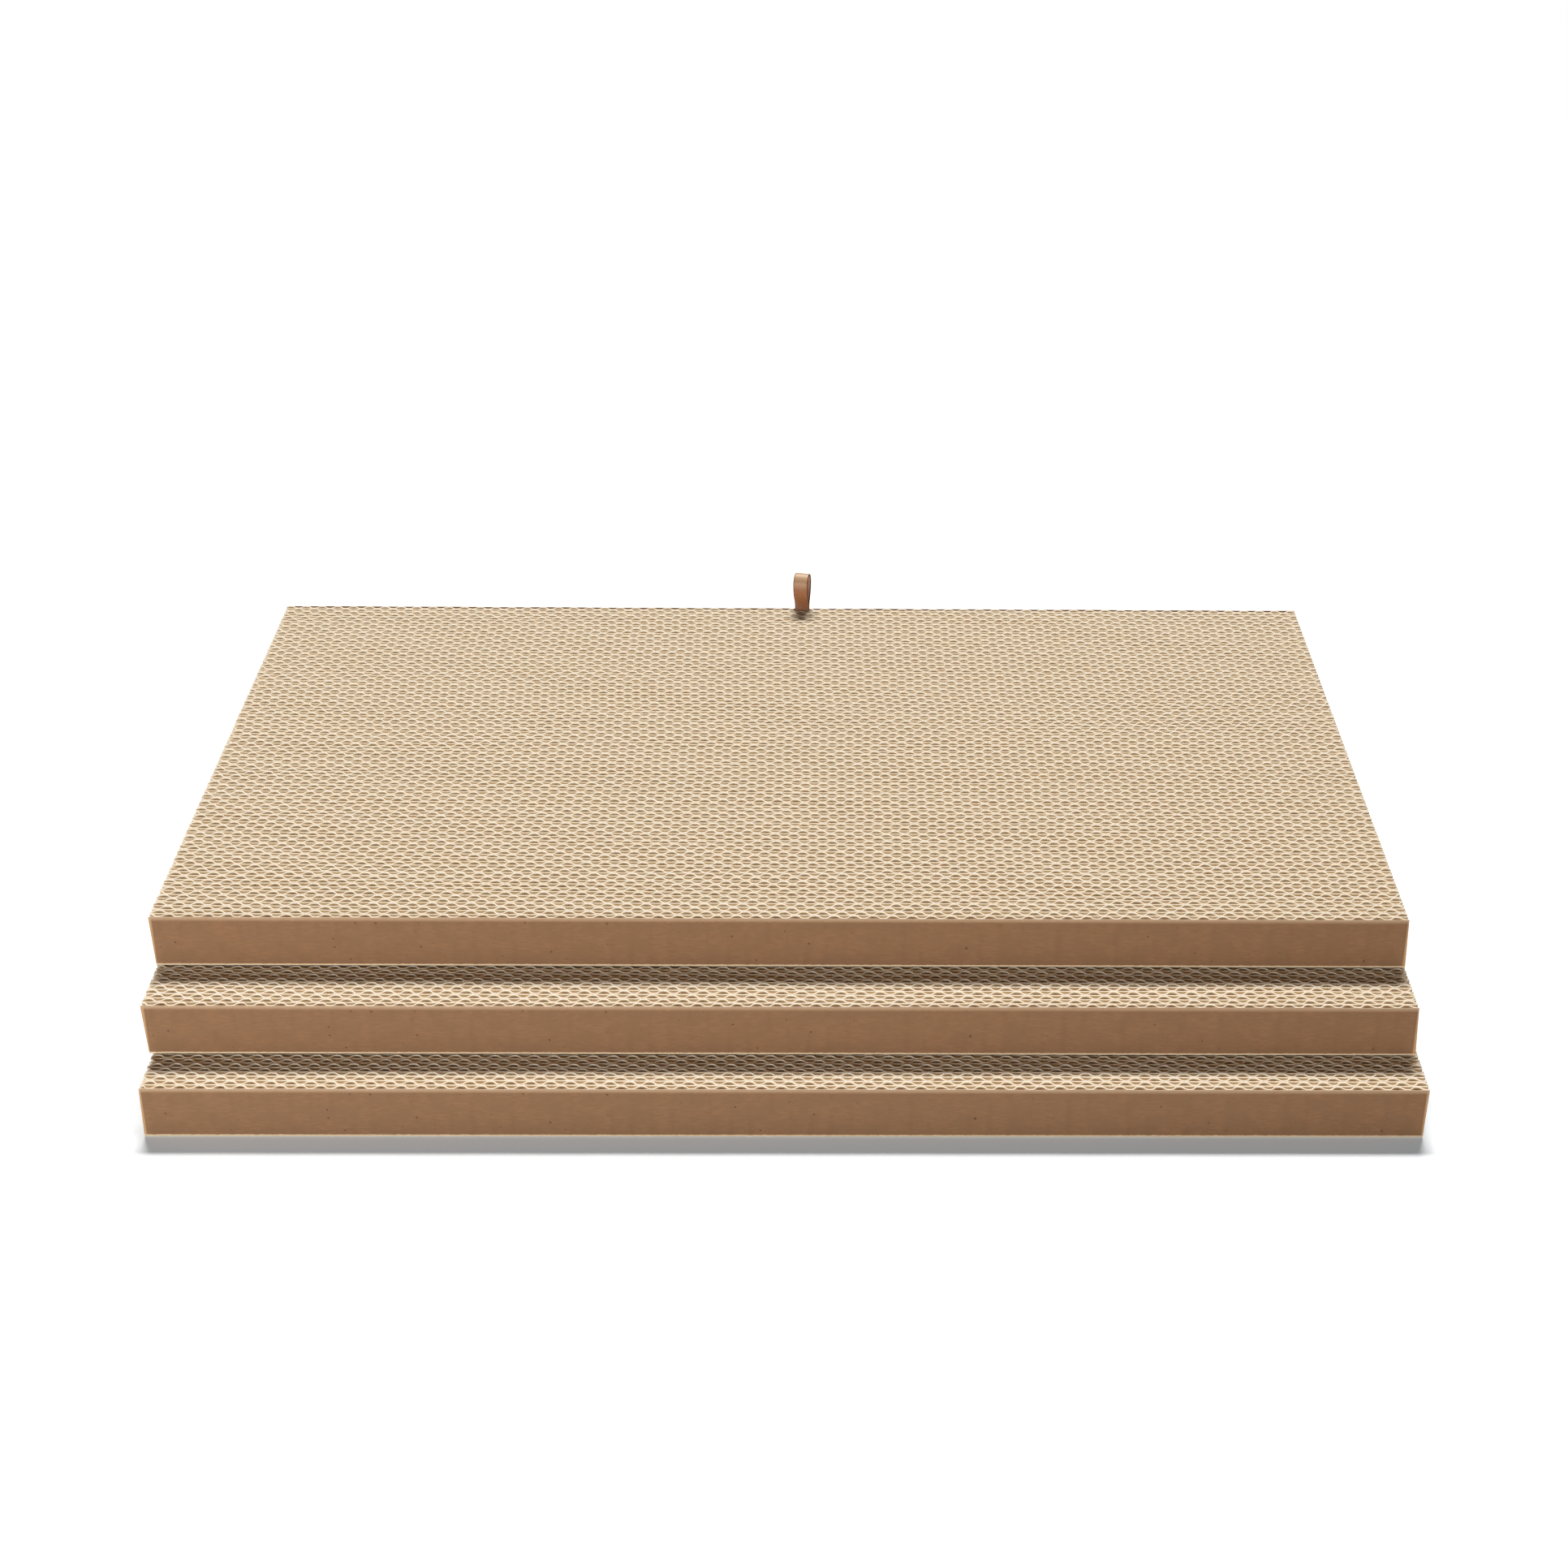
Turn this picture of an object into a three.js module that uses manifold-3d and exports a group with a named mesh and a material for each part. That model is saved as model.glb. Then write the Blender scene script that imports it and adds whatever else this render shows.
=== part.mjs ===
// Three cat scratching boards of laminated corrugated cardboard, stacked like steps,
// with a leather pull loop at the rear of the top one.
// Millimetres, +Z up. X runs along the strips, Y from the front to the rear.
// The origin is the middle of the space that the stack covers, on the surface that it stands on.
import * as THREE from "three";
import { mergeVertices } from "three/addons/utils/BufferGeometryUtils.js";
import Module from "manifold-3d";

const wasm = await Module();
wasm.setup();

// Driving dimensions of one board
const boardWidth = 420;
const boardHeight = 18.8;
const stripCount = 99;
const stripPitch = 2.525;
const glueFilm = 0.05;
const linerThickness = 0.3;
const bundleCount = 8;
const channelDepth = 1.2;

// Driving dimensions of the fluted paper inside a strip
const flutePitch = 6.5;
const crestFlat = 1.3;
const mediumThickness = 0.25;
const frontFlutePhase = 0.2;
const rearFlutePhase = 0.7;

// How the boards lie on each other
const restingGap = 0.3;
const middleSetback = 19.8;
const topSetback = 24.4;
const middleShift = -1.2;
const topShift = -2;

// Driving dimensions of the pull loop
const strapWidth = 6;
const strapThickness = 0.8;
const strapClearance = 0.12;
const leastParting = 0.2;
const tailDepth = 13;
const tailCorner = 1.5;
const tailCornerSteps = 4;
const loopHeight = 16;
const loopDepth = 7.8;
const loopTurn = THREE.MathUtils.degToRad(-12);
const loopOffset = 3.7;
const rootGap = 0.3;

// How the loop swells from its root, as a share of the height where its bend starts, and how many
// flat faces stand for each of its curves
const swellShare = 0.38;
const runSteps = 8;
const bendSteps = 12;
const rootSteps = 8;

// Places across one strip, from its front face
const stripDepth = stripPitch - glueFilm;
const mediumFront = linerThickness + glueFilm;
const mediumRear = stripDepth - linerThickness - glueFilm;
const innerLinerFront = stripDepth - linerThickness;
const boardDepth = stripCount * stripPitch - glueFilm;
const rearStripFront = (stripCount - 1) * stripPitch;

const frontKraft = new THREE.MeshStandardMaterial({ color: "#a98463", roughness: 0.85, metalness: 0 });
const cutBoard = new THREE.MeshStandardMaterial({ color: "#d9c4a4", roughness: 0.95, metalness: 0 });
const flutedPaper = new THREE.MeshStandardMaterial({ color: "#c9ab84", roughness: 0.95, metalness: 0 });
const tanLeather = new THREE.MeshStandardMaterial({ color: "#a5704a", roughness: 0.5, metalness: 0 });

// A flat sheet that stands on edge across the whole board, between two depths.
function sheetGeometry(front, rear) {
  const sheet = new THREE.BoxGeometry(boardWidth, rear - front, boardHeight);
  return sheet.translate(0, (front + rear) / 2, boardHeight / 2);
}

// The middle line of a fluted sheet: flat crests, glued to each liner in turn, with straight
// flanks between them. The line is cut off where the board ends.
function fluteLine(phase) {
  const end = boardWidth / 2;
  const middle = (mediumFront + mediumRear) / 2;
  const rise = (mediumRear - mediumFront - mediumThickness) / 2;
  const halfPitch = flutePitch / 2;
  const crestsPerSide = Math.ceil(end / halfPitch) + 2;
  const corners = [];
  for (let crest = -crestsPerSide; crest <= crestsPerSide; crest += 1) {
    const x = crest * halfPitch + phase * flutePitch;
    const y = middle + (crest % 2 === 0 ? rise : -rise);
    corners.push(new THREE.Vector2(x - crestFlat / 2, y), new THREE.Vector2(x + crestFlat / 2, y));
  }
  const cutAt = (x) => {
    const after = corners.findIndex((corner) => corner.x > x);
    const before = corners[after - 1];
    const share = (x - before.x) / (corners[after].x - before.x);
    return before.clone().lerp(corners[after], share);
  };
  const inside = corners.filter((corner) => Math.abs(corner.x) < end - mediumThickness);
  return [cutAt(-end), ...inside, cutAt(end)];
}

// The outline of a sheet of even thickness along a line that runs in +X, cut square to X at both ends.
function sheetOutline(line, thickness) {
  const directions = line.slice(1).map((point, i) => point.clone().sub(line[i]).normalize());
  const offsets = line.map((_, i) => {
    if (i === 0 || i === line.length - 1) {
      const direction = directions[Math.min(i, directions.length - 1)];
      return new THREE.Vector2(0, thickness / 2 / direction.x);
    }
    const bisector = directions[i - 1].clone().add(directions[i]).normalize();
    const normal = new THREE.Vector2(-bisector.y, bisector.x);
    return normal.multiplyScalar(thickness / 2 / bisector.dot(directions[i]));
  });
  const front = line.map((point, i) => point.clone().sub(offsets[i]));
  const rear = line.map((point, i) => point.clone().add(offsets[i]));
  return new THREE.Shape([...front, ...rear.reverse()]);
}

// The fluted medium of one strip, its flutes upright, in the space between the strip's liners.
function mediumGeometry(phase) {
  const outline = sheetOutline(fluteLine(phase), mediumThickness);
  return new THREE.ExtrudeGeometry(outline, { depth: boardHeight, bevelEnabled: false });
}

// A profile drawn with Y to its right and Z up, drawn out along X about the middle of the board.
const acrossBoard = new THREE.Matrix4().makeBasis(
  new THREE.Vector3(0, 1, 0),
  new THREE.Vector3(0, 0, 1),
  new THREE.Vector3(1, 0, 0),
);
function extrudeAcross(shape, width) {
  const solid = new THREE.ExtrudeGeometry(shape, { depth: width, bevelEnabled: false, curveSegments: 1 });
  return solid.translate(0, 0, -width / 2).applyMatrix4(acrossBoard);
}

// A bundle of strips glued together. The liners' cut edges stand as ridges on the upper face,
// with the mouth of each strip's open flute space as a channel between them. The last bundle of a
// board may stop at the board's rear facing, which is then the last strip's rear liner.
function bundleGeometry(firstStrip, lastStrip, endsAtFacing) {
  const channelFloor = boardHeight - channelDepth;
  const profile = new THREE.Shape();
  profile.moveTo(lastStrip * stripPitch + (endsAtFacing ? mediumRear : stripDepth), 0);
  for (let strip = lastStrip; strip >= firstStrip; strip -= 1) {
    const front = strip * stripPitch;
    const rear = front + stripDepth;
    if (strip === lastStrip && endsAtFacing) {
      profile.lineTo(front + mediumRear, channelFloor);
    } else {
      profile.lineTo(strip === lastStrip ? rear : rear + glueFilm, boardHeight);
      profile.lineTo(rear - linerThickness, boardHeight);
      profile.lineTo(rear - linerThickness, channelFloor);
    }
    profile.lineTo(front + linerThickness, channelFloor);
    profile.lineTo(front + linerThickness, boardHeight);
  }
  profile.lineTo(firstStrip * stripPitch, boardHeight);
  profile.lineTo(firstStrip * stripPitch, 0);
  profile.closePath();
  return extrudeAcross(profile, boardWidth);
}

// Turns a closed geometry into a solid for cutting, and a cut solid back into a geometry.
function toSolid(geometry) {
  const bare = geometry.clone();
  bare.deleteAttribute("normal");
  bare.deleteAttribute("uv");
  const merged = mergeVertices(bare.index ? bare.toNonIndexed() : bare, 1e-4);
  const mesh = new wasm.Mesh({
    numProp: 3,
    vertProperties: merged.attributes.position.array,
    triVerts: new Uint32Array(merged.index.array),
  });
  return new wasm.Manifold(mesh);
}
function toGeometry(solid) {
  const mesh = solid.getMesh();
  const geometry = new THREE.BufferGeometry();
  geometry.setAttribute("position", new THREE.BufferAttribute(mesh.vertProperties, 3));
  geometry.setIndex(new THREE.BufferAttribute(mesh.triVerts, 1));
  const faceted = geometry.toNonIndexed();
  faceted.computeVertexNormals();
  return faceted;
}

// The loop's place on the top board, and its root's height above that board's upper face
const tailRear = boardDepth - linerThickness - strapClearance;
const tailFront = tailRear - 2 * strapThickness;
const loopY = (tailFront + tailRear) / 2;
const rootRadius = strapThickness;
const rootHeight = rootRadius + rootGap;

// The pocket in the rear strip that the strap's two ends are pushed into.
function pocketSolid() {
  const width = strapWidth + 2 * strapClearance;
  const depth = tailRear - tailFront + 2 * strapClearance;
  const height = tailDepth + strapClearance + rootHeight;
  const pocket = new THREE.BoxGeometry(width, depth, height);
  pocket.translate(loopOffset, loopY, boardHeight - tailDepth - strapClearance + height / 2);
  return toSolid(pocket);
}
function withPocket(geometry) {
  return toGeometry(toSolid(geometry).subtract(pocketSolid()));
}

// The strap's two ends, glued back to back, with rounded corners at the bottom.
function tailGeometry() {
  const half = strapWidth / 2;
  const outline = new THREE.Shape();
  outline.moveTo(half, 0);
  outline.lineTo(-half, 0);
  outline.lineTo(-half, tailCorner - tailDepth);
  outline.absarc(-half + tailCorner, tailCorner - tailDepth, tailCorner, Math.PI, 1.5 * Math.PI, false);
  outline.absarc(half - tailCorner, tailCorner - tailDepth, tailCorner, 1.5 * Math.PI, 2 * Math.PI, false);
  outline.closePath();
  const depth = tailRear - tailFront;
  const settings = { depth, bevelEnabled: false, curveSegments: tailCornerSteps };
  const tail = new THREE.ExtrudeGeometry(outline, settings);
  tail.translate(0, 0, -depth / 2).rotateX(Math.PI / 2);
  return tail.translate(loopOffset, loopY, boardHeight);
}

// One side of the loop as seen along the strap's width, from its root up to where the bend starts.
const bendRadius = loopDepth / 2;
const bendHeight = loopHeight - rootHeight - bendRadius;
function loopSide() {
  const swell = swellShare * bendHeight;
  return new THREE.CubicBezierCurve(
    new THREE.Vector2(strapThickness, 0),
    new THREE.Vector2(strapThickness, swell),
    new THREE.Vector2(bendRadius, swell),
    new THREE.Vector2(bendRadius, bendHeight),
  ).getPoints(runSteps);
}

// The points inside a half circle about (0, centreZ), without its two ends.
function halfCircle(centreZ, radius, from, steps) {
  return Array.from({ length: steps - 1 }, (_, i) => {
    const angle = from + (Math.PI * (i + 1)) / steps;
    return new THREE.Vector2(radius * Math.cos(angle), centreZ + radius * Math.sin(angle));
  });
}

// The strap bent into a drop-shaped loop: the two runs lie together at the root, part as they rise
// and join in a round bend. Its root is a half round, so that it can tip without touching the board.
// Higher up the loop is turned about the vertical, as the strap twists. Where the runs are still
// closer together than the least parting, they are one piece.
function loopGeometry() {
  const side = loopSide();
  const mirrored = (points) => points.map((point) => new THREE.Vector2(-point.x, point.y)).reverse();
  const outer = [
    ...side,
    ...halfCircle(bendHeight, bendRadius, 0, bendSteps),
    ...mirrored(side),
    ...halfCircle(0, rootRadius, Math.PI, rootSteps),
  ];
  const innerSide = side
    .map((point) => new THREE.Vector2(point.x - strapThickness, point.y))
    .filter((point) => point.x > leastParting);
  const inner = [
    ...innerSide,
    ...halfCircle(bendHeight, bendRadius - strapThickness, 0, bendSteps),
    ...mirrored(innerSide),
  ];
  const band = new THREE.Shape(outer);
  band.holes.push(new THREE.Path(inner));
  const loop = extrudeAcross(band, strapWidth);
  const position = loop.getAttribute("position");
  const point = new THREE.Vector3();
  const vertical = new THREE.Vector3(0, 0, 1);
  for (let i = 0; i < position.count; i += 1) {
    point.fromBufferAttribute(position, i);
    const turn = loopTurn * THREE.MathUtils.smoothstep(point.z, 0, bendHeight / 2);
    point.applyAxisAngle(vertical, turn);
    position.setXYZ(i, point.x, point.y, point.z);
  }
  loop.computeVertexNormals();
  return loop;
}

// One board, in its own frame: its lower front edge is on X, and its middle is at X = 0. The board
// that holds the loop has its rear strip in separate sheets, as the front strip is on every board.
function scratchingBoard(name, holdsLoop) {
  const board = new THREE.Group();
  const add = (piece, geometry, material) => {
    const mesh = new THREE.Mesh(geometry, material);
    mesh.name = `${name}_${piece}`;
    board.add(mesh);
  };

  add("front_facing", sheetGeometry(0, linerThickness), frontKraft);
  add("front_flutes", mediumGeometry(frontFlutePhase), flutedPaper);
  add("front_inner_liner", sheetGeometry(innerLinerFront, stripDepth), cutBoard);

  const bundledStrips = stripCount - (holdsLoop ? 2 : 1);
  for (let bundle = 1; bundle <= bundleCount; bundle += 1) {
    const firstStrip = 1 + Math.round(((bundle - 1) * bundledStrips) / bundleCount);
    const lastStrip = Math.round((bundle * bundledStrips) / bundleCount);
    const isLast = bundle === bundleCount;
    const strips = bundleGeometry(firstStrip, lastStrip, isLast && !holdsLoop);
    add(`strips_${bundle}`, isLast && holdsLoop ? withPocket(strips) : strips, cutBoard);
  }

  if (holdsLoop) {
    const liner = sheetGeometry(rearStripFront, rearStripFront + linerThickness);
    add("rear_inner_liner", withPocket(liner), cutBoard);
    const medium = mediumGeometry(rearFlutePhase).translate(0, rearStripFront, 0);
    add("rear_flutes", withPocket(medium), flutedPaper);
  }
  add("rear_facing", sheetGeometry(boardDepth - linerThickness, boardDepth), frontKraft);
  return board;
}

// The pull loop and its tail, in the top board's frame.
function pullLoop() {
  const pull = new THREE.Group();
  const tail = new THREE.Mesh(tailGeometry(), tanLeather);
  tail.name = "pull_loop_tail";
  const loop = new THREE.Mesh(loopGeometry(), tanLeather);
  loop.name = "pull_loop";
  loop.position.set(loopOffset, loopY, boardHeight + rootHeight);
  pull.add(tail, loop);
  return pull;
}

// The stack, with each board set back from the one below
const step = boardHeight + restingGap;
const bottomBoard = scratchingBoard("bottom", false);
const middleBoard = scratchingBoard("middle", false);
middleBoard.position.set(middleShift, middleSetback, step);
const topBoard = scratchingBoard("top", true);
topBoard.add(pullLoop());
topBoard.position.set(topShift, middleSetback + topSetback, 2 * step);

// The loop's belly reaches behind the top board, so it counts in the depth of the stack.
const shifts = [0, middleShift, topShift];
const centreX = (Math.min(...shifts) + Math.max(...shifts)) / 2;
const loopReach = loopY + bendRadius * Math.cos(loopTurn) + (strapWidth / 2) * Math.abs(Math.sin(loopTurn));
const stackDepth = middleSetback + topSetback + Math.max(boardDepth, loopReach);

const group = new THREE.Group();
group.add(bottomBoard, middleBoard, topBoard);
group.position.set(-centreX, -stackDepth / 2, 0);
export default group;
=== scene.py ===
"""Three corrugated scratching boards stacked like steps, with a leather pull loop.

Each board is built as it is made: strips of corrugated board stand on edge side by side, and each
strip is a fluted paper between two liners. The liners of two neighbours are glued face to face and
make one sheet. Lengths are in millimetres until a mesh is made.
"""

import math

import bpy
import numpy as np
from mathutils import Matrix, Vector


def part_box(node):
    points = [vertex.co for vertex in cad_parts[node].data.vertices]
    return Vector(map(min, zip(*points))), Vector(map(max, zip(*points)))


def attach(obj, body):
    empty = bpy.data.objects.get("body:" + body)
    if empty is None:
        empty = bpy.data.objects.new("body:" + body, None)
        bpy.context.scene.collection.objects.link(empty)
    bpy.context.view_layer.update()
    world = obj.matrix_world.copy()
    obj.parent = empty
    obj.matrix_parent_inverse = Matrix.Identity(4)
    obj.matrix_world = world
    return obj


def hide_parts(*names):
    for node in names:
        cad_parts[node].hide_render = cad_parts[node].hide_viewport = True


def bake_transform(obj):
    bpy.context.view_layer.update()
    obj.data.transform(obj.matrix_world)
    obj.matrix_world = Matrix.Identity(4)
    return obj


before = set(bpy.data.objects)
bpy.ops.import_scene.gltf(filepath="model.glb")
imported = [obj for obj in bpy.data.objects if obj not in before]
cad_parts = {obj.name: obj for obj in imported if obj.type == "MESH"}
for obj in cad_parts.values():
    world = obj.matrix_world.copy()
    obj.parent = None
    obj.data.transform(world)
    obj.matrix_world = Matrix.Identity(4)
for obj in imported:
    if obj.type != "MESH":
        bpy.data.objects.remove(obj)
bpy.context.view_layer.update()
scene = bpy.context.scene
MM = 0.001
CORNERS = 4
SHARP_ANGLE = math.radians(40)

# One board
BOARD_WIDTH = 420.0
BOARD_HEIGHT = 18.8
STRIP_COUNT = 99
STRIP_PITCH = 2.525
BOARD_DEPTH = 249.925
BUNDLE_COUNT = 8
END = BOARD_WIDTH / 2

# The sheets. Torn fibres make a cut edge look thicker than its paper, so they are drawn that thick.
# FLUTE_SHARES are the places within one flute where a sheet has points, and FACING_CREST is how far
# right of the middle a flute touches the front wall.
LINER = 0.2
LINER_POINTS = 57
FLUTE_PITCH = 6.5
FLUTE_PAPER = 0.46
FLANK_STEEPNESS = 1.7
FLUTE_SHARES = (0.0, 0.12, 0.19, 0.25, 0.31, 0.38, 0.5, 0.62, 0.69, 0.75, 0.81, 0.88)
SPARE_FLUTES = 2
FACING_CREST = 1.3
FACING_SINK = 0.04
FRONT_PHASE = FACING_CREST / FLUTE_PITCH

# How far hand lamination departs from true. LENGTHS are a wave's shortest and longest.
SWAY = 0.14
SWAY_WAVES = 5
SWAY_SHARES = (0.4, 1.0)
SWAY_LENGTHS_ALONG = (70, 260)
SWAY_LENGTHS_ACROSS = (25, 120)
SEAM_STEP = 0.04
RIPPLE = 0.05
RIPPLE_LENGTHS = (18, 55)
STRAIGHT_MARGIN = 9.0
PHASE_CREEP = 0.03
PHASE_STEP = 0.03
STRETCH = 0.002
DRIFTS = (0.01, 0.06)
DRIFT_LENGTHS = (80, 240)
DRIFT_ROUNDS = 3

# How far sawing departs from true. A SPAN is the length of one radian of a wave, and BURR is a
# share of the paper's thickness.
SAW_STEP = 0.1
SAW_WAVER = 0.03
SAW_SPAN = 9.0
BURR = 0.12
BURR_LENGTHS = (4, 11)
LINER_SINK = 0.08
FLUTE_LIFT = 0.04

# A facing's edges, rubbed round in use
FACING_GAP = 0.06
FACING_WAVER = 0.05
FACING_SPAN = 7.0
ROUND_HEAD = 0.3
ROUND_FOOT = 0.16
ROUND_TIP = 0.06

# The leather strap
STRAP_WIDTH = 6.0
STRAP_THICKNESS = 0.8
STRAP_EDGE_RADIUS = 0.36
STRAP_X = 3.7
STRAP_Y = 248.705
TAIL_GAP = 0.01
TAIL_DEPTH = 13.0
ROOT_HEIGHT = 1.1
BEND_RADIUS = 3.9
BEND_HEIGHT = 11.0
SWELL_SHARE = 0.38
LOOP_TURN = math.radians(-12)
TURNED_HEIGHT = BEND_HEIGHT / 3
POCKET_MARGIN = 0.25
TAIL_POINTS = 15
CURVE_POINTS = 25
FLAT_POINTS = 8
CORNER_POINTS = 4

# The camera, fitted to the photograph
CAMERA_PLACE = (15.39, -843.28, 504.57)
CAMERA_YAW = math.radians(-1.277)
CAMERA_PITCH = math.radians(29.088)
CAMERA_ROLL = math.radians(-0.812)
CAMERA_SENSOR = 36
CAMERA_LENS = 59.475
CAMERA_SHIFT = (-0.06277, 0.02501)


# Meshes


def make_piece(name, parts, materials, origin):
    """Joins parts, each (points, faces, material numbers), into one piece placed at origin."""
    points = np.vstack([part[0] for part in parts]) * MM
    starts = np.cumsum([0] + [len(part[0]) for part in parts[:-1]])
    faces = np.vstack([part[1] + start for part, start in zip(parts, starts)])
    numbers = np.concatenate([part[2] for part in parts])
    mesh = bpy.data.meshes.new(name)
    mesh.vertices.add(len(points))
    mesh.vertices.foreach_set("co", points.astype(np.float32).ravel())
    mesh.loops.add(faces.size)
    mesh.loops.foreach_set("vertex_index", faces.astype(np.int32).ravel())
    mesh.polygons.add(len(faces))
    mesh.polygons.foreach_set("loop_start", np.arange(0, faces.size, CORNERS, dtype=np.int32))
    mesh.polygons.foreach_set("material_index", numbers.astype(np.int32))
    mesh.update(calc_edges=True)
    mesh.polygons.foreach_set("use_smooth", np.ones(len(faces), bool))
    mesh.set_sharp_from_angle(angle=SHARP_ANGLE)
    for material in materials:
        mesh.materials.append(material)
    piece = bpy.data.objects.new(name, mesh)
    piece.location = origin
    scene.collection.objects.link(piece)
    return piece


def tube(rings, numbers, end_number):
    """A tube through rings of points, closed at both ends, as a part for make_piece.

    numbers gives the material of the face after each point of a ring, and end_number the ends'.
    """
    around = len(numbers)
    step = np.arange(len(rings) - 1)[:, None] * around
    side = np.arange(around)[None, :]
    following = (side + 1) % around
    sides = np.stack(
        [step + side, step + around + side, step + around + following, step + following], axis=2
    ).reshape(-1, CORNERS)
    ends = []
    last = (len(rings) - 1) * around
    for i in range(around // 2 - 1):
        first = (i, i + 1, around - 2 - i, around - 1 - i)
        ends.append(first)
        ends.append([last + corner for corner in reversed(first)])
    side_numbers = np.tile(numbers, len(rings) - 1)
    end_numbers = np.full(len(ends), end_number)
    points = np.vstack(rings)
    return points, np.vstack([sides, ends]), np.concatenate([side_numbers, end_numbers])


def standing_sheet(x, front, rear, profile, numbers):
    """A closed sheet that runs along x between the lines front and rear.

    profile goes round the sheet's section from its lower front corner, up and over. Each of its
    points is (share of the way from front to rear, height), and either line and any height may
    vary along x. numbers gives the material of the face after each point, and the ends take the
    last one.
    """
    rings = np.empty((len(x), len(profile), 3))
    for i, (share, height) in enumerate(profile):
        rings[:, i, 0] = x
        rings[:, i, 1] = front + share * (rear - front)
        rings[:, i, 2] = height
    return tube(rings, numbers, numbers[-1])


PAPER = 0
CUT = 1


def plain_profile(bottom, top):
    """The section of a sheet that is sawn square at its top and bottom."""
    return [(0.0, bottom), (0.0, top), (1.0, top), (1.0, bottom)]


PLAIN_NUMBERS = [PAPER, CUT, PAPER, CUT]


# One board's sheets


def wave_rates(random, lengths, shape):
    """How many radians a millimetre is, for waves whose length is drawn from lengths."""
    return math.tau / random.uniform(*lengths, shape)


def wave_starts(random, shape):
    """Where waves start, in radians."""
    return random.uniform(0, math.tau, shape)


class Lamination:
    """How one board's strips lie: where each seam between strips runs, and each strip's flutes."""

    def __init__(self, seed):
        random = np.random.default_rng(seed)
        seam_count = STRIP_COUNT + 1
        self.along = wave_rates(random, SWAY_LENGTHS_ALONG, SWAY_WAVES)
        self.across = wave_rates(random, SWAY_LENGTHS_ACROSS, SWAY_WAVES)
        self.start = wave_starts(random, SWAY_WAVES)
        self.strength = random.uniform(*SWAY_SHARES, SWAY_WAVES)
        # All waves together reach twice SWAY at the very most.
        self.strength *= SWAY / self.strength.sum() * 2
        self.step = random.normal(0, SEAM_STEP, seam_count)
        self.ripple = wave_rates(random, RIPPLE_LENGTHS, seam_count)
        self.ripple_start = wave_starts(random, seam_count)
        self.phase = self.run_of_phases(random)
        self.stretch = random.normal(1, STRETCH, STRIP_COUNT)
        self.drift = random.uniform(*DRIFTS, STRIP_COUNT)
        self.drift_rate = wave_rates(random, DRIFT_LENGTHS, STRIP_COUNT)
        self.drift_start = wave_starts(random, STRIP_COUNT)
        self.sawn = random.uniform(0, SAW_STEP, (STRIP_COUNT, 2))
        self.saw_start = wave_starts(random, STRIP_COUNT)
        self.burr = wave_rates(random, BURR_LENGTHS, (2, STRIP_COUNT))
        self.burr_start = wave_starts(random, (2, STRIP_COUNT))

        # The front strip's flutes are even, because they print through on the front wall.
        self.phase[0] = FRONT_PHASE
        self.stretch[0] = 1
        self.drift[0] = 0

    def run_of_phases(self, random):
        """Where in a turn each strip's flutes start.

        Every other strip is turned round, so rows are about half a flute out of step.
        """
        turned = np.arange(STRIP_COUNT) * 0.5
        creep = np.cumsum(random.normal(0, PHASE_CREEP, STRIP_COUNT))
        return (turned + creep + random.normal(0, PHASE_STEP, STRIP_COUNT)) % 1

    def seam(self, number, x):
        """The line between strip number - 1 and strip number. Both faces of the board are flat."""
        y = number * STRIP_PITCH
        inset = min(y, BOARD_DEPTH - y)
        free = min(max(inset / STRAIGHT_MARGIN, 0.0), 1.0)
        sway = sum(
            strength * np.sin(along * x + across * y + start)
            for strength, along, across, start in zip(
                self.strength, self.along, self.across, self.start
            )
        )
        ripple = RIPPLE * np.sin(self.ripple[number] * x + self.ripple_start[number])
        return min(y, BOARD_DEPTH) + free * (sway + ripple + self.step[number])

    def late(self, strip, x):
        """How many turns a strip's flutes are ahead of even spacing at x."""
        return self.drift[strip] * np.sin(self.drift_rate[strip] * x + self.drift_start[strip])

    def points_along(self, strip, start, end):
        """Places along x from start to end, closer together on the flutes' flanks."""
        spacing = FLUTE_PITCH / self.stretch[strip]
        first = math.floor(start / spacing) - SPARE_FLUTES
        last = math.ceil(end / spacing) + SPARE_FLUTES
        turns = np.add.outer(np.arange(first, last), FLUTE_SHARES).ravel()
        x = (turns + self.phase[strip]) * spacing
        # The drift at a point depends on where the point lies, so a few rounds settle it.
        for _ in range(DRIFT_ROUNDS):
            x = (turns + self.phase[strip] - self.late(strip, x)) * spacing
        inside = x[(x > start + FLUTE_PAPER / 4) & (x < end - FLUTE_PAPER / 4)]
        return np.concatenate([[start], inside, [end]])

    def flute(self, strip, x):
        """-1 where the fluted paper touches the strip's front liner and 1 at its rear liner."""
        turns = x / FLUTE_PITCH * self.stretch[strip] - self.phase[strip] + self.late(strip, x)
        wave = np.cos(math.tau * turns)
        return -wave / np.sqrt(wave**2 + (1 - wave**2) / FLANK_STEEPNESS**2)

    def top(self, strip, x):
        """The sawn top edge of a strip, a little lower on some strips than on others."""
        waver = SAW_WAVER * (1 + np.sin(x / SAW_SPAN + self.saw_start[strip]))
        return BOARD_HEIGHT - self.sawn[strip, 0] - waver

    def bottom(self, strip):
        """The sawn bottom edge of a strip, a little higher on some strips than on others."""
        return self.sawn[strip, 1]

    def ragged(self, strip, x):
        """How many times its even thickness the torn fluted paper has at x."""
        waves = np.sin(self.burr[:, strip, None] * x + self.burr_start[:, strip, None])
        return 1 + BURR * waves.sum(axis=0)


LINER_X = np.linspace(-END, END, LINER_POINTS)


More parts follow.
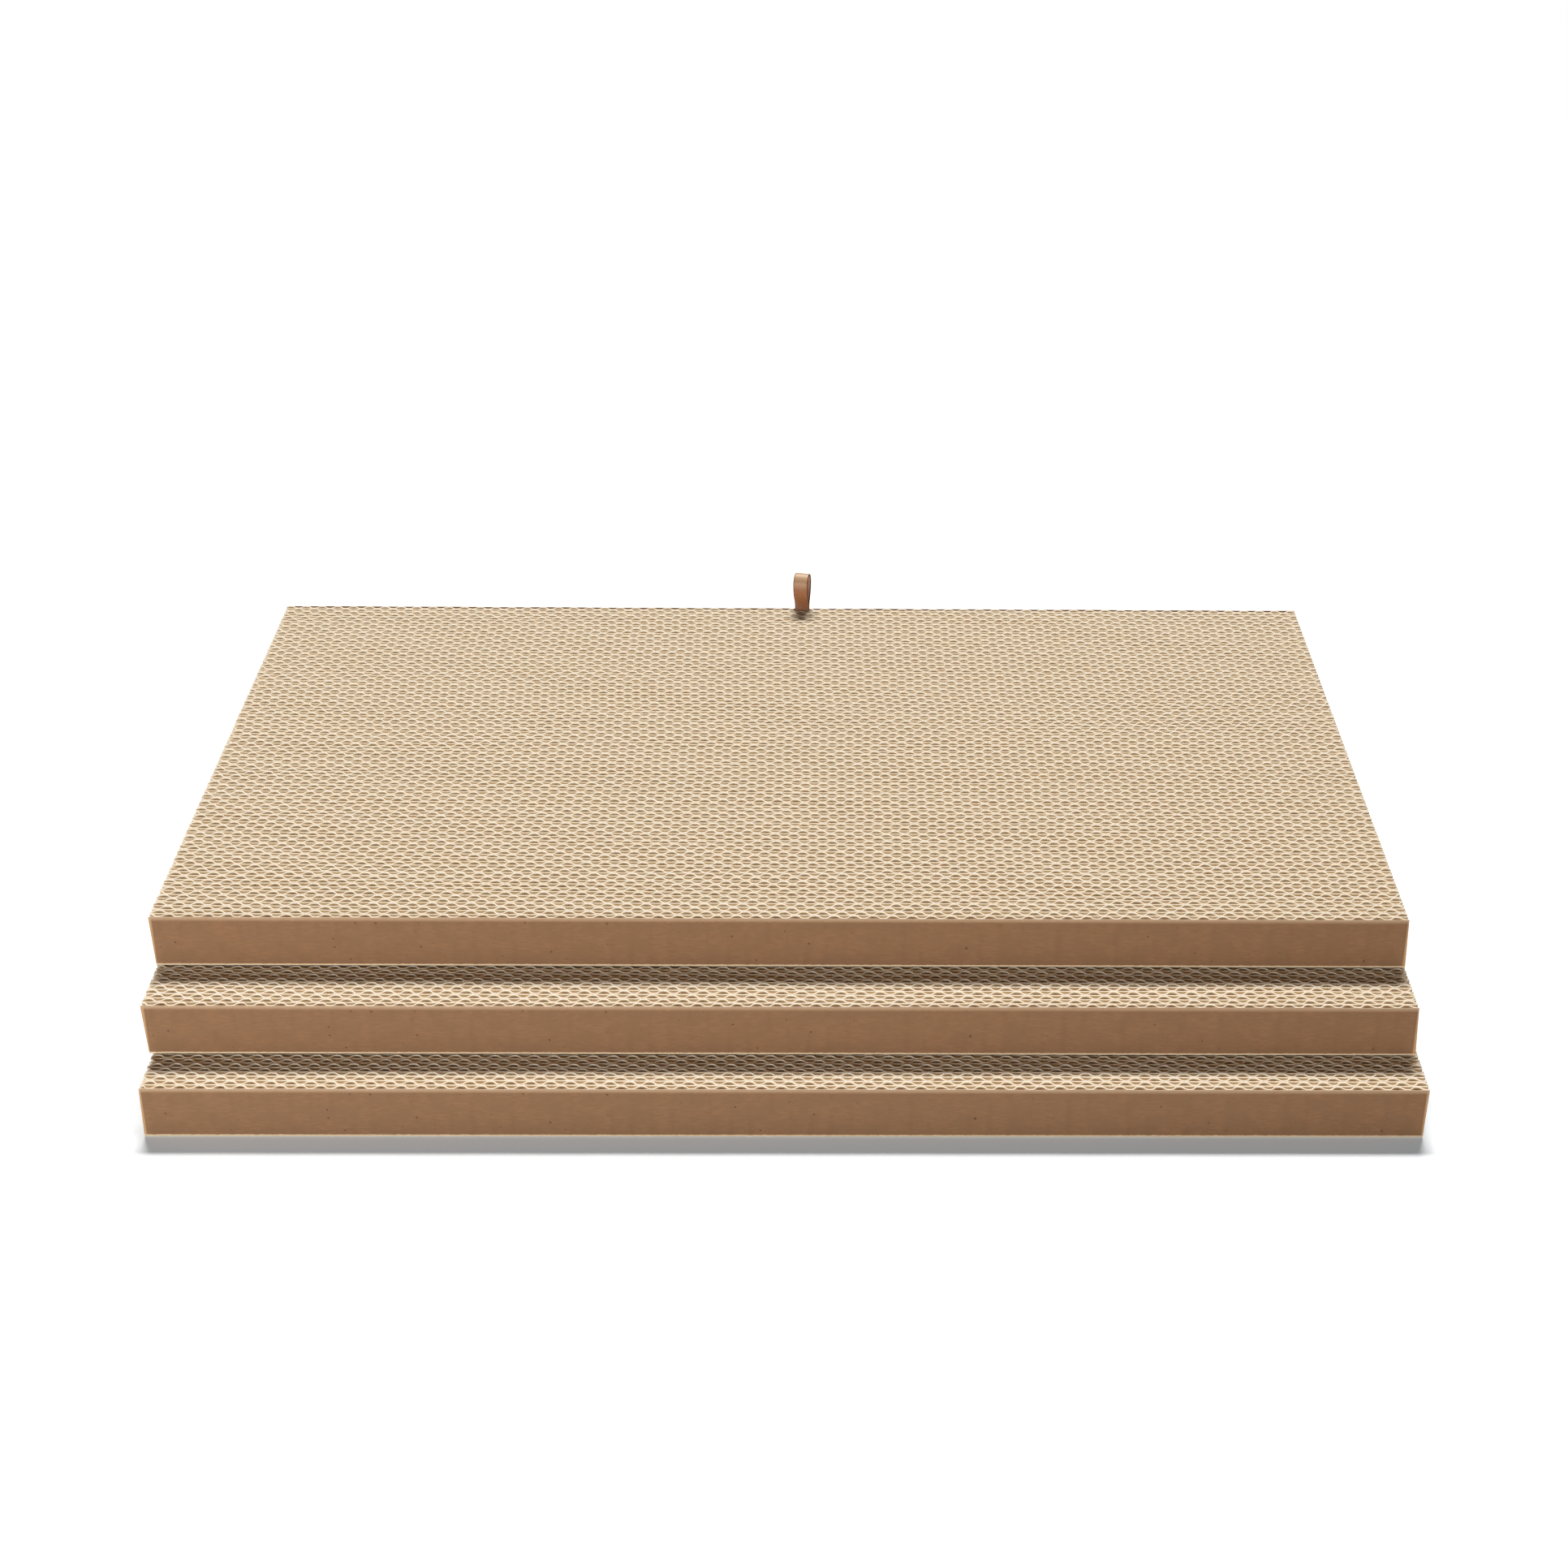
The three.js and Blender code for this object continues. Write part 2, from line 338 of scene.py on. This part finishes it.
def glued_liners(lamination, strip):
    """The rear liner of a strip and the front liner of the next one, glued face to face.

    The saw leaves them a little lower than the fluted paper.
    """
    seam = lamination.seam(strip + 1, LINER_X)
    bottom = (lamination.bottom(strip) + lamination.bottom(strip + 1)) / 2
    top = (lamination.top(strip, LINER_X) + lamination.top(strip + 1, LINER_X)) / 2
    profile = plain_profile(bottom, top - LINER_SINK)
    return standing_sheet(LINER_X, seam - LINER, seam + LINER, profile, PLAIN_NUMBERS)


def fluted_sheet(lamination, strip, start=-END, end=END, height=None):
    """The fluted paper of a strip, from crest to crest between its two liners."""
    x = lamination.points_along(strip, start, end)
    near = lamination.seam(strip, x) + LINER
    far = lamination.seam(strip + 1, x) - LINER
    rise = (far - near - FLUTE_PAPER) / 2
    middle = (near + far) / 2 + rise * lamination.flute(strip, x)
    slope = np.gradient(middle, x)
    half = FLUTE_PAPER / 2 * np.sqrt(1 + slope**2) * lamination.ragged(strip, x)
    front = np.maximum(middle - half, near)
    rear = np.minimum(middle + half, far)
    top = lamination.top(strip, x) if height is None else height
    profile = plain_profile(lamination.bottom(strip) + FLUTE_LIFT, top)
    return standing_sheet(x, front, rear, profile, PLAIN_NUMBERS)


def facing_sheet(lamination, is_front):
    """A board's outer wall. It sinks a little between the crests of the flutes behind it."""
    strip = 0 if is_front else STRIP_COUNT - 1
    x = lamination.points_along(strip, -END, END)
    sink = FACING_SINK * (1 + lamination.flute(strip, x) * (1 if is_front else -1)) / 2
    waver = FACING_WAVER * np.sin(x / FACING_SPAN + lamination.saw_start[strip])
    top = BOARD_HEIGHT - FACING_GAP + waver
    profile = [
        (0.35, 0.0),
        (0.0, ROUND_FOOT),
        (0.0, top - ROUND_HEAD),
        (0.3, top - ROUND_TIP),
        (0.7, top),
        (1.0, top - ROUND_TIP),
        (1.0, ROUND_FOOT),
        (0.8, 0.0),
    ]
    numbers = [CUT, PAPER, PAPER, CUT, CUT, PAPER, CUT, CUT]
    if is_front:
        return standing_sheet(x, sink, LINER, profile, numbers)
    mirrored = [(1 - share, height) for share, height in reversed(profile)]
    numbers = [CUT, PAPER, CUT, CUT, PAPER, PAPER, CUT, CUT]
    return standing_sheet(x, BOARD_DEPTH - LINER, BOARD_DEPTH - sink, mirrored, numbers)


def pocketed_flutes(lamination):
    """The top board's rear fluted paper, cut low where the strap's two ends are pushed in."""
    half = STRAP_WIDTH / 2 + POCKET_MARGIN
    floor = BOARD_HEIGHT - TAIL_DEPTH - POCKET_MARGIN
    strip = STRIP_COUNT - 1
    return [
        fluted_sheet(lamination, strip, -END, STRAP_X - half),
        fluted_sheet(lamination, strip, STRAP_X - half, STRAP_X + half, floor),
        fluted_sheet(lamination, strip, STRAP_X + half, END),
    ]


# Materials


def linear(hex_colour):
    """An sRGB colour such as "98735a" as linear red, green, blue and alpha."""
    shares = [int(hex_colour[i : i + 2], 16) / 255 for i in (0, 2, 4)]
    return (*[c / 12.92 if c <= 0.04045 else ((c + 0.055) / 1.055) ** 2.4 for c in shares], 1.0)


def add_node(tree, kind, inputs=None, **settings):
    """Adds a node. An input is given a value, or the output socket that feeds it."""
    node = tree.nodes.new(kind)
    for name, value in settings.items():
        setattr(node, name, value)
    for socket, value in (inputs or {}).items():
        if isinstance(value, bpy.types.NodeSocket):
            tree.links.new(value, node.inputs[socket])
        else:
            node.inputs[socket].default_value = value
    return node


def new_material(name):
    """An empty material and its node tree."""
    material = bpy.data.materials.new(name)
    material.use_nodes = True
    material.node_tree.nodes.clear()
    return material, material.node_tree


# Sockets of the node that mixes two colours
MIX_FACTOR = 0
MIX_A = 6
MIX_B = 7
MIX_RESULT = 2

# The part of a noise that a pattern uses. A narrow part gives patches with firm edges, and a high
# part gives scattered dots.
SOFT = (0.3, 0.7)
MEDIUM = (0.35, 0.65)
MOTTLED = (0.36, 0.64)
BROKEN = (0.4, 0.6)
FIRM = (0.4, 0.62)
SCATTERED = (0.8, 0.84)


def object_place(tree):
    """Where a point lies on the piece's own axes, as a vector."""
    return add_node(tree, "ShaderNodeTexCoord").outputs["Object"]


def grain(tree, size, detail=2.0):
    """Noise whose grains are size millimetres long along x, y and z, from 0 to 1."""
    scaled = add_node(
        tree,
        "ShaderNodeMapping",
        {"Vector": object_place(tree), "Scale": [1 / (MM * length) for length in size]},
    )
    noise = add_node(
        tree,
        "ShaderNodeTexNoise",
        {"Vector": scaled.outputs[0], "Scale": 1.0, "Detail": detail, "Roughness": 0.55},
    )
    return noise.outputs["Fac"]


def between(tree, value, low, high, to_low=0.0, to_high=1.0):
    """value from low to high becomes to_low to to_high, and stays inside them."""
    ramp = add_node(
        tree,
        "ShaderNodeMapRange",
        {0: value, 1: low, 2: high, 3: to_low, 4: to_high},
        interpolation_type="SMOOTHSTEP",
    )
    return ramp.outputs[0]


def blend_colours(tree, factor, first, second):
    """first turns to second as factor goes from 0 to 1."""
    mix = add_node(
        tree,
        "ShaderNodeMix",
        {MIX_FACTOR: factor, MIX_A: first, MIX_B: second},
        data_type="RGBA",
    )
    return mix.outputs[MIX_RESULT]


def calculate(tree, operation, *values):
    """One step of arithmetic on values, each a number or the output that feeds it."""
    inputs = dict(enumerate(values))
    return add_node(tree, "ShaderNodeMath", inputs, operation=operation).outputs[0]


def bumps(tree, height, strength, depth):
    """Bumps that follow height and are depth millimetres high."""
    inputs = {"Strength": strength, "Distance": depth * MM, "Height": height}
    return add_node(tree, "ShaderNodeBump", inputs).outputs[0]


def end_in_surface(tree, inputs):
    """Ends a material in a Principled shader with these inputs."""
    shader = add_node(tree, "ShaderNodeBsdfPrincipled", inputs)
    add_node(tree, "ShaderNodeOutputMaterial", {0: shader.outputs[0]})


PAPER_IOR = 1.45
LEATHER_IOR = 1.5

# How far light spreads inside the paper in red, green and blue, as shares of the scale
PAPER_GLOW = (1.0, 0.9, 0.8)

# How much of the wave behind a facing prints through as a glue line, from faint to full
GLUE_LINE = (0.2, 1.0)

# Pale bands on a facing: how far inside its edge each begins, and where it is full. The top band is
# painted light shining through the paper from behind, the foot band is pale torn fibres with a
# painted highlight on them, and the end bands are pale sawn edges.
PAINTED_GLOW_TOP = (1.7, 0.1)
FOOT_FIBRES_AND_HIGHLIGHT = (1.0, 0.8)
RUBBED_END = (0.9, 0.4)
RAGGED_EDGE = 0.5

# The pale torn band of the inner sheets, above browner paper that is partly painted shade in the
# cells:
# how far inside the cut it begins, and where it is full
TORN_BAND_OVER_SHADE = (1.0, 0.5)
FRAYED_EDGE = 0.3


def kraft_linerboard():
    """Machine-made kraft linerboard: matt brown paper, mottled, with fibres along the board.

    The flutes behind it print through as faint upright lines, and its sawn ends are pale. A band
    along its top is painted light shining through the paper, and a line along its foot is pale torn
    fibres with a painted highlight.
    """
    material, tree = new_material("Kraft linerboard")
    axes = add_node(tree, "ShaderNodeSeparateXYZ", {0: object_place(tree)}).outputs
    mottle = between(tree, grain(tree, (9, 9, 6), 4.0), *MOTTLED)
    fibres = between(tree, grain(tree, (3.5, 3.5, 0.8), 3.0), *MEDIUM)
    specks = between(tree, grain(tree, (1.6, 1.6, 1.6), 0.0), *SCATTERED)
    rate = math.tau / (FLUTE_PITCH * MM)
    turns = calculate(tree, "MULTIPLY_ADD", axes["X"], rate, -math.tau * FRONT_PHASE)
    glue_line = between(tree, calculate(tree, "COSINE", turns), *GLUE_LINE)
    broken = between(tree, grain(tree, (5, 5, 9)), *BROKEN, to_high=0.3)
    printed = calculate(tree, "MULTIPLY", glue_line, broken)
    colour = blend_colours(tree, mottle, linear("9c7555"), linear("927052"))
    colour = blend_colours(tree, fibres, colour, linear("916e50"))
    colour = blend_colours(tree, printed, colour, linear("8a684c"))
    colour = blend_colours(tree, specks, colour, linear("70513a"))
    ragged = grain(tree, (1.6, 1.6, 0.6))
    height = calculate(tree, "MULTIPLY_ADD", ragged, RAGGED_EDGE * MM, axes["Z"])
    # Painted light: a pale band along the top edge, as if light from behind shone through the
    # paper.
    start, full = [(BOARD_HEIGHT - inside) * MM for inside in PAINTED_GLOW_TOP]
    upper = between(tree, height, start, full, to_high=0.75)
    # Pale torn fibres along the foot, with a painted highlight where they catch light.
    start, full = [inside * MM for inside in FOOT_FIBRES_AND_HIGHLIGHT]
    lower = between(tree, height, start, full)
    start, full = [(END - inside) * MM for inside in RUBBED_END]
    ends = between(tree, calculate(tree, "ABSOLUTE", axes["X"]), start, full, to_high=0.7)
    # The ends are pale sawn edges, the top band is painted light, and the foot line is pale fibres
    # with a painted highlight.
    colour = blend_colours(tree, ends, colour, linear("d9ae80"))
    colour = blend_colours(tree, upper, colour, linear("cfae8c"))
    colour = blend_colours(tree, lower, colour, linear("ecd0a8"))
    end_in_surface(
        tree,
        {
            "Base Color": colour,
            "Roughness": 0.85,
            "IOR": PAPER_IOR,
            "Specular IOR Level": 0.3,
            "Normal": bumps(tree, fibres, strength=0.35, depth=0.04),
        },
    )
    return material


def inner_paper():
    """Unbleached paper inside the board: the liners and the fluted sheets, matt.

    Light glows through the thin paper. The saw tears its fibres, which leaves a pale band along
    the cut. Deeper in, the paper is browner, partly its own colour and partly painted shade in the
    cells.
    """
    material, tree = new_material("Unbleached fluting paper")
    axes = add_node(tree, "ShaderNodeSeparateXYZ", {0: object_place(tree)}).outputs
    mottle = between(tree, grain(tree, (9, 9, 9)), *MEDIUM)
    fibres = between(tree, grain(tree, (3, 3, 0.4), 3.0), *SOFT)
    colour = blend_colours(tree, mottle, linear("e2ccae"), linear("dcc4a2"))
    colour = blend_colours(tree, fibres, colour, linear("d4ba96"))
    middle = BOARD_HEIGHT / 2
    outward = calculate(tree, "ABSOLUTE", calculate(tree, "SUBTRACT", axes["Z"], middle * MM))
    fray = grain(tree, (0.6, 0.6, 0.6))
    frayed = calculate(tree, "MULTIPLY_ADD", fray, FRAYED_EDGE * MM, outward)
    # Pale torn fibres near the cut. The browner paper deeper in is partly painted shade in the
    # cells.
    start, full = [(middle - inside) * MM for inside in TORN_BAND_OVER_SHADE]
    torn = between(tree, frayed, start, full)
    colour = blend_colours(tree, torn, colour, linear("f8e7d3"))
    end_in_surface(
        tree,
        {
            "Base Color": colour,
            "Roughness": 0.9,
            "IOR": PAPER_IOR,
            "Specular IOR Level": 0.25,
            "Subsurface Weight": 1.0,
            "Subsurface Radius": PAPER_GLOW,
            "Subsurface Scale": 0.8 * MM,
        },
    )
    return material


def sawn_edge():
    """Paper sawn across: torn fibres make the edge pale, matt and a little woolly."""
    material, tree = new_material("Sawn paper edge")
    wool = between(tree, grain(tree, (0.35, 0.35, 0.35)), *SOFT)
    patches = between(tree, grain(tree, (14, 5, 14)), *FIRM)
    colour = blend_colours(tree, patches, linear("fae8d4"), linear("f6e0c8"))
    colour = blend_colours(tree, wool, colour, linear("f0d9bd"))
    end_in_surface(
        tree,
        {
            "Base Color": colour,
            "Roughness": 0.95,
            "IOR": PAPER_IOR,
            "Specular IOR Level": 0.2,
            "Subsurface Weight": 0.6,
            "Subsurface Radius": PAPER_GLOW,
            "Subsurface Scale": 0.6 * MM,
            "Normal": bumps(tree, wool, strength=0.5, depth=0.08),
        },
    )
    return material


# The strap's colour by height above the board: painted shade darkens it from the root up to the
# first height, and a painted highlight makes it paler over its bend, between the next two
ROOT_PAINTED_SHADE = 7
BEND_PAINTED_HIGHLIGHT = (9, 15)
PEBBLE = 0.35


def leather_face():
    """The strap's grain side: tan leather, lightly polished, pebbled and creased.
    """
    material, tree = new_material("Tan leather grain side")
    place = object_place(tree)
    pebbles = add_node(
        tree,
        "ShaderNodeTexVoronoi",
        {"Vector": place, "Scale": 1 / (PEBBLE * MM)},
        feature="SMOOTH_F1",
    ).outputs["Distance"]
    clouds = between(tree, grain(tree, (2.5, 2.5, 2.5)), *MEDIUM)
    creases = between(tree, grain(tree, (2.5, 2.5, 0.35), 3.0), *FIRM)
    colour = blend_colours(tree, clouds, linear("aa724b"), linear("9d6742"))
    colour = blend_colours(tree, creases, colour, linear("95603c"))
    height = add_node(tree, "ShaderNodeSeparateXYZ", {0: place}).outputs["Z"]
    board_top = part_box("top_front_facing")[1].z
    # Painted shade: the strap darkens towards its root.
    painted_root_shade = between(tree, height, board_top, board_top + ROOT_PAINTED_SHADE * MM, to_low=0.4, to_high=0.0)
    colour = blend_colours(tree, painted_root_shade, colour, linear("6b4128"))
    # Painted highlight: the strap turns paler over the top of its bend.
    start, full = [board_top + above * MM for above in BEND_PAINTED_HIGHLIGHT]
    painted_bend_highlight = between(tree, height, start, full, to_high=0.6)
    colour = blend_colours(tree, painted_bend_highlight, colour, linear("d8b68e"))
    end_in_surface(
        tree,
        {
            "Base Color": colour,
            "Roughness": 0.55,
            "IOR": LEATHER_IOR,
            "Specular IOR Level": 0.6,
            "Coat Weight": 0.15,
            "Coat Roughness": 0.45,
            "Normal": bumps(tree, pebbles, strength=0.5, depth=0.05),
        },
    )
    return material


def leather_flesh():
    """The strap's flesh side: pinkish, matt and fibrous, because it isn't dyed through."""
    material, tree = new_material("Leather flesh side")
    nap = between(tree, grain(tree, (0.5, 0.5, 0.9), 3.0), *SOFT)
    colour = blend_colours(tree, nap, linear("fadccb"), linear("f0c6b0"))
    end_in_surface(
        tree,
        {
            "Base Color": colour,
            "Roughness": 0.9,
            "IOR": LEATHER_IOR,
            "Sheen Weight": 0.2,
            "Sheen Roughness": 0.5,
        },
    )
    return material


def leather_edge():
    """The strap's cut edges, burnished dark and smooth."""
    material, tree = new_material("Burnished leather edge")
    layers = between(tree, grain(tree, (1.5, 0.3, 1.5)), *MEDIUM)
    colour = blend_colours(tree, layers, linear("6d4a34"), linear("533524"))
    end_in_surface(tree, {"Base Color": colour, "Roughness": 0.5, "IOR": LEATHER_IOR})
    return material


# The boards


KRAFT = kraft_linerboard()
INNER = inner_paper()
EDGE = sawn_edge()


def build_board(name, seed, lean, holds_loop):
    """All the sheets of one board, in pieces that each stand for some CAD nodes.

    The ends are sawn a little out of square, so the board leans sideways by lean millimetres from
    its bottom to its top. Returns where the board's own axes start.
    """
    lamination = Lamination(seed)
    body = f"{name}_board"
    low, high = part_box(f"{name}_front_facing")
    origin = ((low.x + high.x) / 2, low.y, low.z)

    def put(piece_name, parts, materials, record_slot, *nodes):
        for points, _, _ in parts:
            points[:, 0] += lean * (points[:, 2] / BOARD_HEIGHT - 0.5)
        piece = make_piece(f"{name}_{piece_name}", parts, materials, origin)
        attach(piece, body)
        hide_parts(*[f"{name}_{node}" for node in nodes])

    facing = facing_sheet(lamination, True)
    put("front_wall", [facing], [KRAFT, EDGE], "kraft_facing", "front_facing")
    facing = facing_sheet(lamination, False)
    put("rear_wall", [facing], [KRAFT, EDGE], "kraft_facing", "rear_facing")
    parts = [fluted_sheet(lamination, 0), glued_liners(lamination, 0)]
    nodes = ["front_flutes", "front_inner_liner"]
    put("front_strip", parts, [INNER, EDGE], "fluted_paper", *nodes)

    inner_count = STRIP_COUNT - (2 if holds_loop else 1)
    for bundle in range(1, BUNDLE_COUNT + 1):
        first = 1 + round((bundle - 1) * inner_count / BUNDLE_COUNT)
        last = round(bundle * inner_count / BUNDLE_COUNT)
        parts = []
        for strip in range(first, last + 1):
            parts.append(fluted_sheet(lamination, strip))
            if strip < inner_count:
                parts.append(glued_liners(lamination, strip))
        put(f"strip_bundle_{bundle}", parts, [INNER, EDGE], "cut_cardboard", f"strips_{bundle}")

    if holds_loop:
        parts = pocketed_flutes(lamination)
        parts.append(glued_liners(lamination, STRIP_COUNT - 2))
        nodes = ["rear_inner_liner", "rear_flutes"]
        put("rear_strip", parts, [INNER, EDGE], "fluted_paper", *nodes)
    return origin


# The pull loop


def smooth_step(value, low, high):
    """0 up to low and 1 from high on, with a soft change between them."""
    share = np.clip((value - low) / (high - low), 0, 1)
    return share * share * (3 - 2 * share)


def strap_line():
    """The strap's middle line from end to end: (depth, height above the loop's root).

    Each side rises straight out of the board, swells out along a cubic curve and ends in a half
    circle at the top.
    """
    half = STRAP_THICKNESS / 2
    tail_depth = half + TAIL_GAP
    side_radius = BEND_RADIUS - half
    tail = np.linspace(-TAIL_DEPTH - ROOT_HEIGHT, 0, TAIL_POINTS)[:-1]
    run = [(tail_depth, height) for height in tail]
    swell = SWELL_SHARE * BEND_HEIGHT
    for t in np.linspace(0, 1, CURVE_POINTS):
        near = (1 - t) ** 3 + 3 * (1 - t) ** 2 * t
        depth = tail_depth * near + side_radius * (1 - near)
        height = 3 * (1 - t) ** 2 * t * swell + 3 * (1 - t) * t**2 * swell + t**3 * BEND_HEIGHT
        run.append((depth, height))
    bend = [
        (side_radius * math.cos(angle), BEND_HEIGHT + side_radius * math.sin(angle))
        for angle in np.linspace(0, math.pi, CURVE_POINTS)[1:-1]
    ]
    front_run = [(-depth, height) for depth, height in run]
    return np.array(front_run + bend[::-1] + run[::-1])


GRAIN_SIDE = 0
FLESH_SIDE = 1
STRAP_EDGE = 2


def strap_corner(across, out, start, end):
    """Points round one rounded corner of the strap's section, from start to end in degrees."""
    turns = [math.radians(angle) for angle in np.linspace(start, end, CORNER_POINTS)]
    return [
        (across + STRAP_EDGE_RADIUS * math.cos(turn), out + STRAP_EDGE_RADIUS * math.sin(turn))
        for turn in turns
    ]


def strap_section():
    """Points round the strap's section, (across, out), and the material after each point."""
    half = STRAP_THICKNESS / 2
    flat = STRAP_WIDTH / 2 - STRAP_EDGE_RADIUS
    deep = half - STRAP_EDGE_RADIUS
    points = [(across, half) for across in np.linspace(-flat, flat, FLAT_POINTS)]
    points += strap_corner(flat, deep, 90, 0)[1:]
    points += strap_corner(flat, -deep, 0, -90)
    points += [(across, -half) for across in np.linspace(flat, -flat, FLAT_POINTS)[1:]]
    points += strap_corner(-flat, -deep, -90, -180)[1:]
    points += strap_corner(-flat, deep, 180, 90)[:-1]
    numbers = [GRAIN_SIDE] * FLAT_POINTS
    numbers += [STRAP_EDGE] * (2 * CORNER_POINTS - 2)
    numbers += [FLESH_SIDE] * (FLAT_POINTS - 1)
    numbers += [STRAP_EDGE] * (len(points) - len(numbers))
    return np.array(points), np.array(numbers)


def strap_part():
    """The strap swept along its line, closed at both ends and turned as it rises."""
    line = strap_line()
    tangent = np.gradient(line, axis=0)
    tangent /= np.linalg.norm(tangent, axis=1)[:, None]
    outward = np.stack([-tangent[:, 1], tangent[:, 0]], axis=1)
    section, section_numbers = strap_section()
    rings = np.empty((len(line), len(section), 3))
    rings[:, :, 0] = section[:, 0]
    rings[:, :, 1:] = line[:, None, :] + section[None, :, 1, None] * outward[:, None, :]
    points, faces, numbers = tube(rings, section_numbers, STRAP_EDGE)
    turn = LOOP_TURN * smooth_step(points[:, 2], -ROOT_HEIGHT, TURNED_HEIGHT)
    x = points[:, 0] * np.cos(turn) - points[:, 1] * np.sin(turn)
    y = points[:, 0] * np.sin(turn) + points[:, 1] * np.cos(turn)
    points[:, 0] = x + STRAP_X
    points[:, 1] = y + STRAP_Y
    points[:, 2] += BOARD_HEIGHT + ROOT_HEIGHT
    # The section goes round the other way than a sheet's profile, so the faces are turned over.
    return points, faces[:, [0, 3, 2, 1]], numbers


build_board("bottom", seed=11, lean=0.3, holds_loop=False)
build_board("middle", seed=23, lean=-0.8, holds_loop=False)
top_origin = build_board("top", seed=37, lean=-0.55, holds_loop=True)

strap = make_piece(
    "pull_strap",
    [strap_part()],
    [leather_face(), leather_flesh(), leather_edge()],
    top_origin,
)
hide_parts("pull_loop", "pull_loop_tail")
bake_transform(strap)


# Floor, light and camera


def white_floor():
    """A matt white sheet that keeps the shadow of what stands on it.

    The camera sees it lifted to plain white, and to the boards it is a little darker.
    """
    material, tree = new_material("Matt white floor")
    path = add_node(tree, "ShaderNodeLightPath")
    colour = blend_colours(tree, path.outputs["Is Camera Ray"], linear("b4b2b0"), linear("ffffff"))
    matt = add_node(tree, "ShaderNodeBsdfDiffuse", {"Color": colour})
    lifted = add_node(
        tree,
        "ShaderNodeEmission",
        {"Color": linear("52646e"), "Strength": path.outputs["Is Camera Ray"]},
    )
    shader = add_node(tree, "ShaderNodeAddShader", {0: matt.outputs[0], 1: lifted.outputs[0]})
    add_node(tree, "ShaderNodeOutputMaterial", {0: shader.outputs[0]})
    return material


FLOOR_SIDE = 2.4
FLOOR_GAP = 0.05
floor_mesh = bpy.data.meshes.new("floor")
half_side = FLOOR_SIDE / 2
floor_mesh.from_pydata(
    [
        (-half_side, -half_side, 0),
        (half_side, -half_side, 0),
        (half_side, half_side, 0),
        (-half_side, half_side, 0),
    ],
    [],
    [(0, 1, 2, 3)],
)
floor_mesh.materials.append(white_floor())
floor = bpy.data.objects.new("floor", floor_mesh)
floor.location.z = -FLOOR_GAP * MM
scene.collection.objects.link(floor)

FILL_LEVEL = 0.065
world = bpy.data.worlds.new("White room")
scene.world = world
world.use_nodes = True
room = world.node_tree
room.nodes.clear()
camera_ray = add_node(room, "ShaderNodeLightPath").outputs["Is Camera Ray"]
seen = add_node(room, "ShaderNodeBackground", {"Color": linear("ffffff"), "Strength": 1.0})
fill = add_node(room, "ShaderNodeBackground", {"Color": linear("ffdcb4"), "Strength": FILL_LEVEL})
either = add_node(
    room, "ShaderNodeMixShader", {0: camera_ray, 1: fill.outputs[0], 2: seen.outputs[0]}
)
add_node(room, "ShaderNodeOutputWorld", {0: either.outputs[0]})


def soft_box(name, side, height, distance, width, tall, level):
    """A lamp that faces the boards from side and height in degrees. Azimuth 0 is behind them.

    level is the share that it adds to a white sheet facing it, where 1 is plain white.
    """
    light = bpy.data.lights.new(name, "AREA")
    light.shape = "RECTANGLE"
    light.size = width
    light.size_y = tall
    light.energy = level * math.pi * math.pi * distance**2
    box = bpy.data.objects.new(name, light)
    a, e = math.radians(side), math.radians(height)
    outward = Vector((math.sin(a) * math.cos(e), math.cos(a) * math.cos(e), math.sin(e)))
    box.location = outward * distance
    box.rotation_mode = "QUATERNION"
    box.rotation_quaternion = outward.to_track_quat("Z", "Y")
    box.visible_camera = False
    scene.collection.objects.link(box)


# The key is a wide strip above and behind, so each board throws a short shadow forwards. The front
# box is low and a little to the left, and gives the front walls their slow fade to the right.
soft_box("key", side=0, height=61.5, distance=10.0, width=4.5, tall=1.4, level=1.22)
soft_box("front", side=-157, height=6.5, distance=1.3, width=0.8, tall=0.16, level=0.63)


def camera_matrix():
    """The camera's place and turn, as fitted to the boards' corners in the photograph."""
    sin_yaw, cos_yaw = math.sin(CAMERA_YAW), math.cos(CAMERA_YAW)
    sin_pitch, cos_pitch = math.sin(CAMERA_PITCH), math.cos(CAMERA_PITCH)
    forward = np.array([-sin_yaw * cos_pitch, cos_yaw * cos_pitch, -sin_pitch])
    level_right = np.array([cos_yaw, sin_yaw, 0.0])
    level_down = np.cross(forward, level_right)
    right = level_right * math.cos(CAMERA_ROLL) + level_down * math.sin(CAMERA_ROLL)
    down = -level_right * math.sin(CAMERA_ROLL) + level_down * math.cos(CAMERA_ROLL)
    matrix = Matrix.Identity(4)
    for row in range(3):
        matrix[row][0] = right[row]
        matrix[row][1] = -down[row]
        matrix[row][2] = -forward[row]
        matrix[row][3] = CAMERA_PLACE[row] * MM
    return matrix


camera_data = bpy.data.cameras.new("camera")
camera_data.sensor_width = CAMERA_SENSOR
camera_data.lens = CAMERA_LENS
camera_data.shift_x, camera_data.shift_y = CAMERA_SHIFT
camera = bpy.data.objects.new("camera", camera_data)
scene.collection.objects.link(camera)
camera.matrix_world = camera_matrix()
scene.camera = camera
scene.view_settings.view_transform = "Standard"
